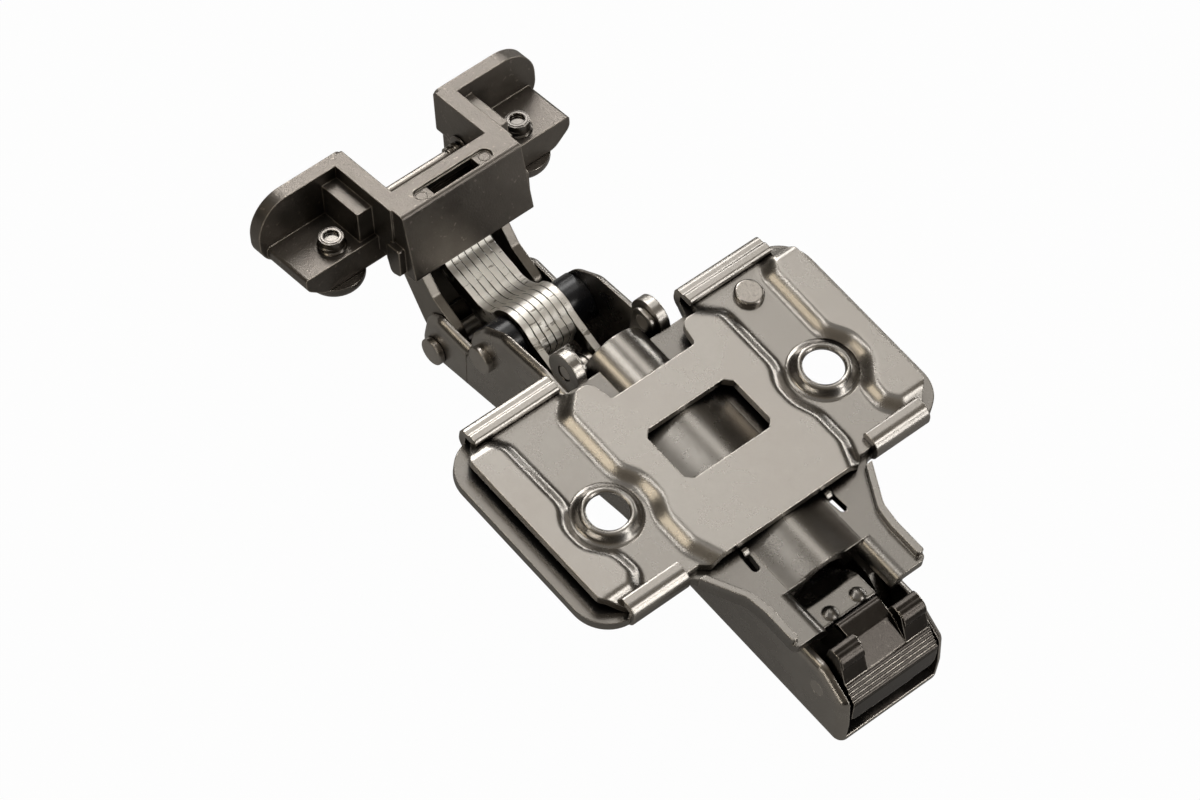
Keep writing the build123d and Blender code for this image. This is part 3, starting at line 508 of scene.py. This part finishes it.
# Two shallow rings are left by the mould's pins in the slot's recess.
mark_section = rectangle(0.60, 0.72, 8.10, 8.28)
mark_x, mark_y = -45.1, 4.65
for number, y in ((1, -mark_y), (2, mark_y)):
    add_ring(f"ejector_mark_{number}", mark_section, (mark_x, y, 0), "Z", in_block, "block", cast_finish)

# Stack of seven link plates
# Fine-blanked bright steel, side by side on their pins, with torn and pitted rims.
# Dark lines show where two plates meet, at y = (k + 1/2) * pitch from the arm's centre line.
plate_pitch = 0.985
plate_seed = 0.0317


def make_stack_lines():
    """Gap: 0 on the line between two plates. Nick: 1 on short cracks that differ from plate to plate."""
    group, start, end = new_group("stack_lines", [("Width", 0.062)], ["Gap", "Nick"])
    coords = group.nodes.new("ShaderNodeTexCoord").outputs["Object"]
    parts = group.nodes.new("ShaderNodeSeparateXYZ")
    group.links.new(coords, parts.inputs["Vector"])
    counted = math_node(group, "MULTIPLY", parts.outputs["Y"], 1000 / plate_pitch)
    shifted = math_node(group, "ADD", counted, 0.5 - height_setting / plate_pitch + 20)
    distance = math_node(group, "MULTIPLY", math_node(group, "PINGPONG", shifted, 0.5), plate_pitch)
    wander = remap(group, noise(group, coords, 420.0, 2.0, 0.5), 0.35, 0.65, 0.35, 1.5)
    width = math_node(group, "MULTIPLY", wander, start.outputs["Width"])
    ratio = math_node(group, "DIVIDE", distance, width)
    group.links.new(remap(group, ratio, 0.45, 1.25), end.inputs["Gap"])
    number = math_node(group, "FLOOR", shifted, 0.0)
    joined = group.nodes.new("ShaderNodeCombineXYZ")
    for label, axis, stretch in (("X", "X", 1.0), ("Y", "Y", 0.22), ("Z", "Z", 1.0)):
        own = math_node(group, "MULTIPLY", number, plate_seed)
        scaled = math_node(group, "MULTIPLY", parts.outputs[axis], stretch)
        group.links.new(math_node(group, "ADD", scaled, own), joined.inputs[label])
    crack = noise(group, joined.outputs["Vector"], 1350.0, 4.0, 0.65)
    group.links.new(remap(group, crack, 0.60, 0.66), end.inputs["Nick"])
    return group


link_finish = metal(
    "bright_links", (0.93, 0.90, 0.84), (1.0, 0.98, 0.93), (1.0, 0.98, 0.93), (0.36, 0.48), 0.60,
    grain_size=0.5, reach=0.0022)
link_tree = link_finish.node_tree
link_shader = link_tree.nodes["Principled BSDF"]
lines = link_tree.nodes.new("ShaderNodeGroup")
lines.node_tree = make_stack_lines()
nicked = mix_colour(link_tree, math_node(link_tree, "MULTIPLY", lines.outputs["Nick"], 0.7),
                    link_shader.inputs["Base Color"].links[0].from_socket, (0.16, 0.135, 0.10))
lined = mix_colour(link_tree, lines.outputs["Gap"], (0.045, 0.037, 0.028), nicked)
link_tree.links.new(lined, link_shader.inputs["Base Color"])
dress([f"link_plate_{i}" for i in range(1, 8)], link_finish)

# Creases down the arm's cheeks
# The folding tool leaves a fine line between the two riveted pins.
crease = [(-32.48, -15.6), (-32.36, -15.6), (-31.5, -20.8), (-31.62, -20.8)]
crease_low, crease_high = 7.73, 7.775
for name, low, high in (("right", crease_low, crease_high), ("left", -crease_high, -crease_low)):
    add_bar("arm_crease_" + name, crease, low, high, in_row, "arm", cast_finish)

# Outer link
# A U of bent strip round the stack, darker than it, with a folded web at its foot.
outer_finish = metal(
    "outer_link_nickel", (0.22, 0.20, 0.18), (0.31, 0.29, 0.26), (0.62, 0.58, 0.53), (0.27, 0.36), 0.12)
dress(["outer_link"], outer_finish)
outer_web_half = 5.35
add_bar("outer_link_web", [(-41.0, -19.7), (-40.2, -19.1), (-39.2, -21.4), (-37.6, -22.2), (-35.6, -21.9),
                           (-35.2, -22.6), (-37.4, -23.0), (-39.8, -22.1)],
        -outer_web_half, outer_web_half, in_row, "outer", outer_finish)

# Release lever
# Die-cast and black nickel plated, with rolled lobes and five ribs whose crests are rubbed bright; the bright
# colour on the crests and edges is also a painted highlight.
# The worn colour here is rubbed metal and also a painted highlight on the rib crests.
lever_finish = metal(
    "lever_nickel", (0.042, 0.038, 0.034), (0.070, 0.063, 0.057), (0.90, 0.84, 0.76), (0.20, 0.28), 0.12,
    edge_radius=0.00024, reach=0.003)
dress(["clip_lever"], lever_finish)
lever_body_half = 2.98
lever_half = 6.22
roll_outline = round_outline(24.75, -4.72, 0.42)
lobe_outline = round_outline(28.0, -4.55, 1.34, 40)
for name, outline, low, high in (("lever_front_roll", roll_outline, -lever_body_half, lever_body_half),
                                 ("lever_lobe_right", lobe_outline, lever_body_half, lever_half),
                                 ("lever_lobe_left", lobe_outline, -lever_half, -lever_body_half)):
    add_bar(name, outline, low, high, in_row, "lever", lever_finish)

# Clamp screws
# Black nickel screws through the ears' shelves, with rolled threads, a dished tip and a domed head below.
# The thread is a three-sided ridge that climbs one pitch a turn.
screw_finish = metal(
    "black_nickel", (0.15, 0.14, 0.13), (0.21, 0.195, 0.18), (0.58, 0.54, 0.49), (0.18, 0.26), 0.05,
    edge_radius=0.0002, speck=0.0, reach=0.0025)
dress(["clamp_screw_right", "clamp_screw_left"], screw_finish)
clamp_x, clamp_y = -50.65, 13.92
thread_foot, thread_pitch = 1.15, 0.72
thread_section = [(1.42, -0.27), (1.74, 0.0), (1.42, 0.27)]
for name, body, y in (("right", "clamp_right", clamp_y), ("left", "clamp_left", -clamp_y)):
    add_ring("screw_thread_" + name, thread_section, (clamp_x, y, thread_foot), "Z", in_block, body,
             screw_finish, turns=3, pitch=thread_pitch)
    add_ring("screw_tip_bead_" + name, rectangle(0.92, 1.30, 4.0, 4.18), (clamp_x, y, 0), "Z", in_block, body,
             screw_finish)

# Pins, rivets and cams
# Turned steel, riveted over at their ends, the riveted faces a little dented.
pin_finish = metal(
    "pin_nickel", (0.38, 0.355, 0.325), (0.52, 0.49, 0.455), (0.72, 0.68, 0.62), (0.24, 0.34), 0.55,
    grain_size=0.35, reach=0.002)
pin_cap_radius, pin_cap_low, pin_cap_high = 1.76, 7.72, 8.62
arm_pins = (("front", -37.2, -20.6), ("rear", -29.5, -13.0))
peened_width = 0.00022
for name, x, z in arm_pins:
    for side, low, high in (("right", pin_cap_low, pin_cap_high), ("left", -pin_cap_high, -pin_cap_low)):
        cap = add_bar(f"rivet_cap_{name}_{side}", round_outline(x, z, pin_cap_radius, 36), low, high, in_row,
                      "arm", pin_finish)
        edge = cap.modifiers.new("peened_edge", "BEVEL")
        edge.width = peened_width
        edge.segments = 3
dress(["height_cam", "hook_pin_right", "hook_pin_left", "side_screw", "depth_cam", "arm_pin_front",
       "arm_pin_rear", "lever_pin", "block_pin_outer", "block_pin_inner", "spring_pin"], pin_finish)

# Cross rod with its collar and clip
# Drawn rod between the ears, a short collar and a round spring clip on its +Y end.
rod_finish = metal(
    "drawn_rod", (0.27, 0.25, 0.225), (0.33, 0.305, 0.28), (0.70, 0.66, 0.60), (0.20, 0.28), 0.06,
    reach=0.002)
dress(["guide_rod", "damper_piston", "closing_spring"], rod_finish)
rod_axis = (-52.65, 0, 2.66)
collar_profile = [(0.70, 4.9), (1.05, 4.9), (1.05, 5.5), (0.86, 5.56), (0.86, 5.74), (1.1, 5.8), (1.1, 6.3),
                  (0.70, 6.3)]
clip_profile = [(0.70, 6.6), (1.55, 6.6), (1.7, 6.68), (1.7, 6.84), (1.55, 6.92), (0.70, 6.92)]
add_ring("rod_collar", collar_profile, rod_axis, "Y", in_block, "block", rod_finish)
add_ring("rod_clip", clip_profile, rod_axis, "Y", in_block, "block", screw_finish)

# Black moulded bushes and damper
# Glossy acetal, almost black, with a faint mottle.
plastic = bpy.data.materials.new("black_bush")
plastic.use_nodes = True
plastic_tree = plastic.node_tree
plastic_shader = plastic_tree.nodes["Principled BSDF"]
plastic_coords = plastic_tree.nodes.new("ShaderNodeTexCoord").outputs["Object"]
plastic_mottle = noise(plastic_tree, plastic_coords, 900.0)
plastic_tone = mix_colour(plastic_tree, plastic_mottle, (0.006, 0.007, 0.010), (0.016, 0.018, 0.023))
plastic_tree.links.new(plastic_tone, plastic_shader.inputs["Base Color"])
plastic_rough = remap(plastic_tree, plastic_mottle, 0.3, 0.7, 0.20, 0.30)
plastic_tree.links.new(plastic_rough, plastic_shader.inputs["Roughness"])
dress(["bush_right", "bush_left", "damper_body"], plastic)

# Smooth shading
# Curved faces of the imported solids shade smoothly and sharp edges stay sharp.
solid_sharp_angle = math.radians(32)
for node in nodes.values():
    node.data.shade_smooth()
    node.data.set_sharp_from_angle(angle=solid_sharp_angle)

# Floor
# A plain white surface under the hinge that keeps a faint shadow and looks dim in the metal.
floor_mesh = bpy.data.meshes.new("floor")
floor_reach = 3.0
floor_z = -0.0250
corners = [(-1, -1), (1, -1), (1, 1), (-1, 1)]
floor_mesh.from_pydata([(x * floor_reach, y * floor_reach, floor_z) for x, y in corners], [], [(0, 1, 2, 3)])
floor = bpy.data.objects.new("floor", floor_mesh)
bpy.context.scene.collection.objects.link(floor)
white = bpy.data.materials.new("white_floor")
white.use_nodes = True
white_tree = white.node_tree
white_shader = white_tree.nodes["Principled BSDF"]
white_shader.inputs["Base Color"].default_value = (0.30, 0.29, 0.27, 1)
white_shader.inputs["Roughness"].default_value = 0.9
glow = white_tree.nodes.new("ShaderNodeEmission")
glow.inputs["Color"].default_value = (1, 1, 1, 1)
glow.inputs["Strength"].default_value = 1.0
path = white_tree.nodes.new("ShaderNodeLightPath")
seen = math_node(white_tree, "MAXIMUM", path.outputs["Is Camera Ray"], path.outputs["Is Transmission Ray"])
mix = white_tree.nodes.new("ShaderNodeMixShader")
glow_seen, glow_mirrored = 0.98, 0.10
direct = math_node(white_tree, "MULTIPLY", seen, glow_seen)
in_mirror = math_node(white_tree, "MULTIPLY", path.outputs["Is Glossy Ray"], glow_mirrored)
white_tree.links.new(math_node(white_tree, "MAXIMUM", direct, in_mirror), mix.inputs["Fac"])
white_tree.links.new(white_shader.outputs["BSDF"], mix.inputs[1])
white_tree.links.new(glow.outputs["Emission"], mix.inputs[2])
white_tree.links.new(mix.outputs["Shader"], white_tree.nodes["Material Output"].inputs["Surface"])
floor_mesh.materials.append(white)

# World
# White to the camera. To the metal it is a studio with a light ceiling and dark brown walls.
world = bpy.data.worlds.new("studio")
bpy.context.scene.world = world
world.use_nodes = True
sky = world.node_tree
background = sky.nodes["Background"]
background.inputs["Strength"].default_value = 1.0
direction = sky.nodes.new("ShaderNodeTexCoord").outputs["Generated"]
split = sky.nodes.new("ShaderNodeSeparateXYZ")
sky.links.new(direction, split.inputs["Vector"])
ramp = sky.nodes.new("ShaderNodeValToRGB")
ramp.color_ramp.elements[0].position = 0.0
ramp.color_ramp.elements[0].color = (0.04, 0.035, 0.03, 1)
ramp.color_ramp.elements[1].position = 1.0
ramp.color_ramp.elements[1].color = (0.30, 0.29, 0.275, 1)
for position, shade in ((0.48, 0.03), (0.62, 0.025), (0.76, 0.06), (0.86, 0.14), (0.93, 0.24)):
    element = ramp.color_ramp.elements.new(position)
    element.color = (shade, shade * 0.86, shade * 0.68, 1)
sky.links.new(remap(sky, split.outputs["Z"], -1.0, 1.0), ramp.inputs["Fac"])
sky.links.new(ramp.outputs["Color"], background.inputs["Color"])
plain = sky.nodes.new("ShaderNodeBackground")
plain.inputs["Strength"].default_value = 1.0
plain.inputs["Color"].default_value = (1, 1, 1, 1)
sky_path = sky.nodes.new("ShaderNodeLightPath")
choose = sky.nodes.new("ShaderNodeMixShader")
sky.links.new(sky_path.outputs["Is Camera Ray"], choose.inputs["Fac"])
sky.links.new(background.outputs["Background"], choose.inputs[1])
sky.links.new(plain.outputs["Background"], choose.inputs[2])
sky.links.new(choose.outputs["Shader"], sky.nodes["World Output"].inputs["Surface"])

# Lights
# A soft panel where the flat plates mirror the camera, and low strips that draw the rounded edges.
aim_point = Vector((-0.01, 0, -0.01))


def panel(name, place, size, power, tint):
    """Rectangular lamp aimed at the middle of the hinge."""
    lamp = bpy.data.lights.new(name, "AREA")
    lamp.shape = "RECTANGLE"
    lamp.size = size[0]
    lamp.size_y = size[1]
    lamp.energy = power
    lamp.color = tint
    holder = bpy.data.objects.new(name, lamp)
    bpy.context.scene.collection.objects.link(holder)
    holder.location = place
    aim = aim_point - Vector(place)
    holder.rotation_euler = aim.to_track_quat("-Z", "Y").to_euler()


panel("far_panel", (-0.27, 0.31, 0.64), (0.28, 0.22), 0.255, (1.0, 0.985, 0.96))
panel("top_strip", (-0.26, -0.16, 0.66), (0.50, 0.06), 0.50, (1.0, 0.985, 0.96))
panel("block_panel", (-0.58, 0.35, 0.50), (0.26, 0.26), 0.85, (1.0, 0.985, 0.97))
panel("left_strip", (-0.62, 0.24, 0.34), (0.05, 0.60), 1.0, (1.0, 0.975, 0.94))
panel("back_strip", (-0.16, 0.66, 0.10), (0.60, 0.05), 0.7, (1.0, 0.985, 0.96))
panel("right_strip", (0.58, 0.28, 0.25), (0.08, 0.40), 0.70, (1.0, 0.98, 0.95))
panel("hump_panel", (0.40, 0.31, 0.53), (0.20, 0.16), 0.50, (1.0, 0.98, 0.95))
panel("gold_panel", (-0.27, -0.50, 0.48), (0.34, 0.10), 0.40, (1.0, 0.885, 0.70))
panel("front_fill", (0.16, -0.66, 0.20), (0.50, 0.06), 0.45, (1.0, 0.93, 0.82))

# Camera
# Long lens, turned a little about its own axis. The shift and the distance are in millimetres.
azimuth, elevation, roll = (math.radians(a) for a in (40.93, 56.64, 10.46))
back = Vector((math.sin(azimuth) * math.cos(elevation), -math.cos(azimuth) * math.cos(elevation),
               math.sin(elevation)))
level = Vector((math.cos(azimuth), math.sin(azimuth), 0))
upward = back.cross(level)
right = level * math.cos(roll) + upward * math.sin(roll)
top = -level * math.sin(roll) + upward * math.cos(roll)
lens = bpy.data.cameras.new("camera")
lens.sensor_width = 36.0
lens.lens = 165.0
lens.clip_start = 0.02
lens.clip_end = 20.0
camera = bpy.data.objects.new("camera", lens)
bpy.context.scene.collection.objects.link(camera)
camera.matrix_world = Matrix((
    (right.x, top.x, back.x, 0), (right.y, top.y, back.y, 0), (right.z, top.z, back.z, 0), (0, 0, 0, 1)))
shift_right, shift_up, distance = -13.03, 4.09, 610.9
camera.location = (right * shift_right + top * shift_up + back * distance) / 1000
bpy.context.scene.camera = camera
bpy.context.scene.view_settings.view_transform = "Standard"
